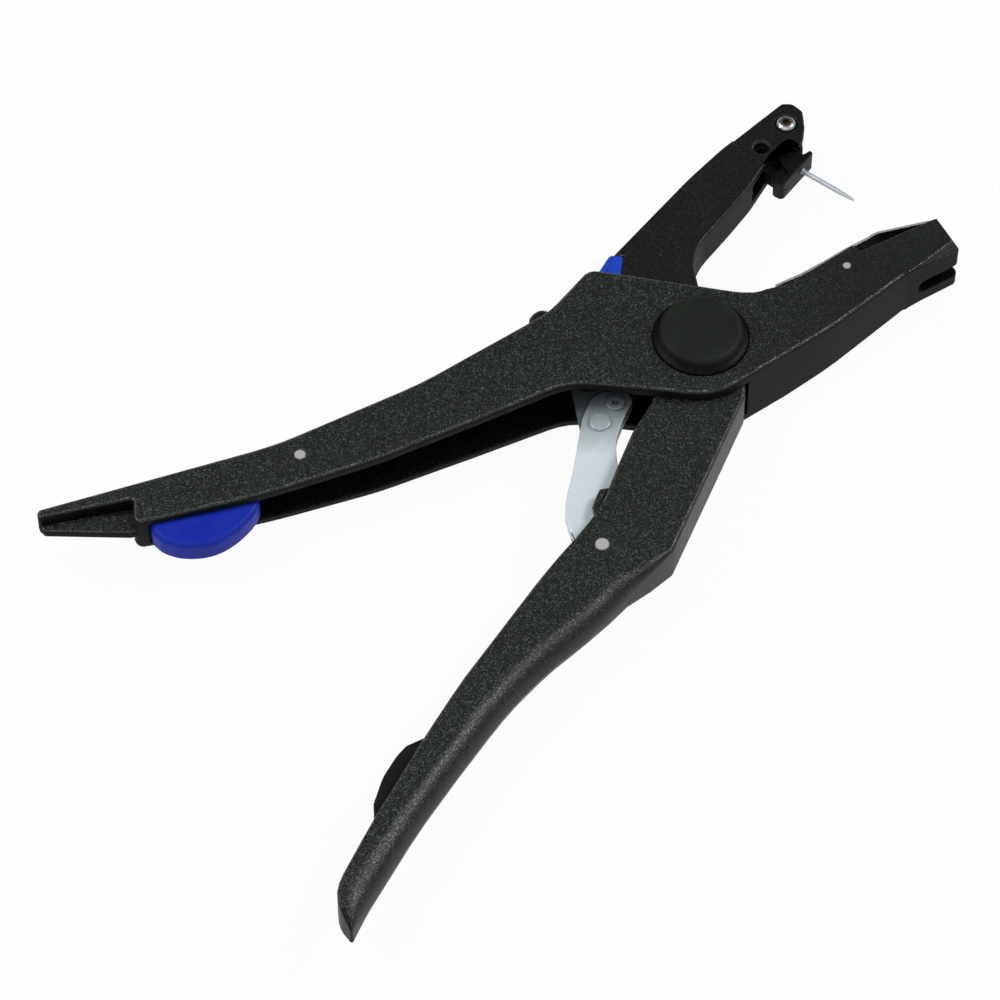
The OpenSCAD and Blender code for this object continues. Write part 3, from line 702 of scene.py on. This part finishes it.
class APPLICATOR_OT_body_casting(bpy.types.Operator):
    """Rounds the body casting with its fixed handle and lower jaw"""

    bl_idname = "applicator.body_casting"
    bl_label = "Body casting"

    def execute(self, context):
        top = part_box("body_casting")[1].z
        half = half_height("body_casting")
        jaw = Vector((math.cos(JAW_ANGLE), math.sin(JAW_ANGLE)))

        def under_cap(edge):
            return middle_of(edge).xy.length < 15 * MM

        def cheek(x):
            """Half the casting's thickness at a place along the handle."""
            return top - half - max(0.0, TAPER_FROM - x) * TAPER

        def own(edge):
            middle = middle_of(edge)
            along = middle.xy.dot(jaw)
            across = middle.y * jaw.x - middle.x * jaw.y
            if along > MOUTH and across > 3 * MM:
                return 0.3 * MM
            if along > TIP:
                return 0.18 * MM
            if off_middle(edge.verts, half) < cheek(middle.x) - 1.6 * MM:
                return settings().inner_edge
            return None

        # Painted shade on the channel walls between the cheeks and on the step walls at the free
        # end
        def is_painted_shade(face):
            middle = face.calc_center_median()
            if middle.x < FREE_END:
                return face.normal.y < -0.75
            return off_middle(face.verts, half) < cheek(middle.x) - 1.4 * MM

        dress(
            "body_casting", "coat", settings().casting_edge, 0.2 * MM, "coat edge", "painted_shade",
            "coat shaded side", is_painted_shade, keep=under_cap, own=own)
        return {"FINISHED"}


class APPLICATOR_OT_lower_handle(bpy.types.Operator):
    """Rounds the lower handle"""

    bl_idname = "applicator.lower_handle"
    bl_label = "Lower handle"

    def execute(self, context):
        # Painted shade on the end face of the lower handle's tip
        def at_end(face):
            middle = face.calc_center_median()
            return middle.y < -168 * MM and face.normal.y < -0.3 and face.normal.x < 0.35

        dress(
            "lower_handle", "coat", settings().casting_edge * 0.7, 0.2 * MM, "coat edge",
            "shaded end coat", is_painted_shade=at_end, shape=smooth_grip)
        return {"FINISHED"}


class APPLICATOR_OT_upper_jaw(bpy.types.Operator):
    """Rounds the upper jaw and its plug"""

    bl_idname = "applicator.upper_jaw"
    bl_label = "Upper jaw"

    def execute(self, context):
        half = half_height("upper_jaw")

        # Painted shade inside the jaw's channel
        def is_painted_shade(face):
            return off_middle(face.verts, half) < 3.9 * MM

        dress(
            "upper_jaw", "jaw coat", settings().jaw_edge * 0.6, 0.2 * MM, "jaw edge", "painted_shade",
            "coat shaded side", is_painted_shade)
        # The plug's rounded edge takes the painted shade
        dress("jaw_plug", "jaw coat", 0.3 * MM, edge="painted_shade")
        return {"FINISHED"}


class APPLICATOR_OT_caps(bpy.types.Operator):
    """Finishes the two pivot caps"""

    bl_idname = "applicator.caps"
    bl_label = "Pivot caps"

    def execute(self, context):
        # Painted shade on the caps' outer flange, where the cap meets the casting
        def on_rim(face):
            return face.calc_center_median().xy.length > 11.95 * MM

        for node in ("front_cap", "back_cap"):
            dress(node, "cap", 0, painted_shade="painted_shade", is_painted_shade=on_rim)
        return {"FINISHED"}


class APPLICATOR_OT_pads(bpy.types.Operator):
    """Rounds the blue and black mouldings"""

    bl_idname = "applicator.pads"
    bl_label = "Bumpers and pads"

    def execute(self, context):
        dress("upper_bumper", "blue", 1.6 * MM, 1.6 * MM, steps=5)
        dress("stop_pad", "light blue", 0.5 * MM)
        dress("lower_bumper", "rubber", 0.5 * MM)
        low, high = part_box("back_buffer")

        def draw_in(bm):
            """Takes the buffer in a little toward the handle."""
            root = Vector((high.x, low.y, (low.z + high.z) / 2))
            for vert in bm.verts:
                vert.co = root + (vert.co - root) * 0.93

        dress("back_buffer", "rubber", 0, shape=draw_in)
        return {"FINISHED"}


class APPLICATOR_OT_lever(bpy.types.Operator):
    """Rounds the lever's plates, its spacer and the link"""

    bl_idname = "applicator.lever"
    bl_label = "Lever and link"

    def execute(self, context):
        width = settings().plate_edge

        # Painted shade on the plates' side faces at their lower left end
        def in_shade(face):
            middle = face.calc_center_median()
            return middle.y < -61 * MM and middle.x < -31 * MM and abs(face.normal.z) < 0.5

        for node in ("lever_front_plate", "lever_back_plate"):
            dress(node, "zinc", width, painted_shade="painted_shade", is_painted_shade=in_shade)
        dress("link_plate", "old zinc", width)
        dress("lever_spacer", "zinc", 0.1 * MM)
        return {"FINISHED"}


class APPLICATOR_OT_pins(bpy.types.Operator):
    """Finishes the pins, rivets and the jaw screw"""

    bl_idname = "applicator.pins"
    bl_label = "Pins, rivets and screw"

    def execute(self, context):
        for node in ("link_rivet", "hollow_rivet"):
            dress(node, "zinc", 0.12 * MM)
        # The pins' rounded edges take a dark rim, a painted shade
        for node, width in (
                ("lever_pin", 0.2), ("bumper_pin", 0.15), ("tail_pin", 0.15),
                ("clip_pin", 0.1)):
            dress(node, "steel", width * MM, edge="rim")
        # The holder pin takes the painted shade coat all over
        dress("holder_pin", "painted_shade", 0.2 * MM)
        low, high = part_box("jaw_screw")
        middle = (low + high) / 2

        def in_recess(face):
            place = face.calc_center_median()
            return place.z > high.z - 1.4 * MM and (place.xy - middle.xy).length < 1.32 * MM

        dress("jaw_screw", "stainless", 0.12 * MM, painted_shade="recess", is_painted_shade=in_recess)
        return {"FINISHED"}


class APPLICATOR_OT_tag_clip(bpy.types.Operator):
    """Rounds the tag clip"""

    bl_idname = "applicator.tag_clip"
    bl_label = "Tag clip"

    def execute(self, context):
        across = Vector((-math.sin(JAW_ANGLE), math.cos(JAW_ANGLE), 0.0))

        # Painted shade on the clip's skirt faces that face down across the jaw
        def is_painted_shade(face):
            return face.normal.dot(across) < -0.4

        dress("tag_clip", "spring", 0.15 * MM, painted_shade="painted_shade", is_painted_shade=is_painted_shade)
        return {"FINISHED"}


class APPLICATOR_OT_holder(bpy.types.Operator):
    """Rounds the pin holder and finishes the needle"""

    bl_idname = "applicator.holder"
    bl_label = "Pin holder and needle"

    def execute(self, context):
        dress("pin_holder", "holder", 0.35 * MM, 0.2 * MM)
        dress("needle", "needle", 0)
        return {"FINISHED"}


class APPLICATOR_OT_pivot(bpy.types.Operator):
    """Finishes the bolt, the nut and the bushing under the caps"""

    bl_idname = "applicator.pivot"
    bl_label = "Pivot bolt, nut and bushing"

    def execute(self, context):
        for node in ("pivot_bolt", "pivot_nut"):
            dress(node, "steel", 0.2 * MM)
        dress("pivot_bushing", "bronze", 0.2 * MM)
        return {"FINISHED"}


STEPS = (
    APPLICATOR_OT_stage, APPLICATOR_OT_body_casting, APPLICATOR_OT_lower_handle,
    APPLICATOR_OT_upper_jaw, APPLICATOR_OT_caps, APPLICATOR_OT_pads, APPLICATOR_OT_lever,
    APPLICATOR_OT_pins, APPLICATOR_OT_tag_clip, APPLICATOR_OT_holder, APPLICATOR_OT_pivot)


class APPLICATOR_PT_panel(bpy.types.Panel):
    """Lists the settings and the steps of the build"""

    bl_idname = "APPLICATOR_PT_panel"
    bl_label = "Ear tag applicator"
    bl_space_type = "VIEW_3D"
    bl_region_type = "UI"
    bl_category = "Applicator"

    def draw(self, context):
        for name in ApplicatorSettings.__annotations__:
            self.layout.prop(context.scene.applicator, name)
        for step in STEPS:
            self.layout.operator(step.bl_idname)


def register():
    for each in (ApplicatorSettings, *STEPS, APPLICATOR_PT_panel):
        bpy.utils.register_class(each)
    bpy.types.Scene.applicator = bpy.props.PointerProperty(type=ApplicatorSettings)


def unregister():
    del bpy.types.Scene.applicator
    for each in (APPLICATOR_PT_panel, *reversed(STEPS), ApplicatorSettings):
        bpy.utils.unregister_class(each)


def main():
    register()
    for step in STEPS:
        group, name = step.bl_idname.split(".")
        getattr(getattr(bpy.ops, group), name)()


if __name__ == "__main__":
    main()
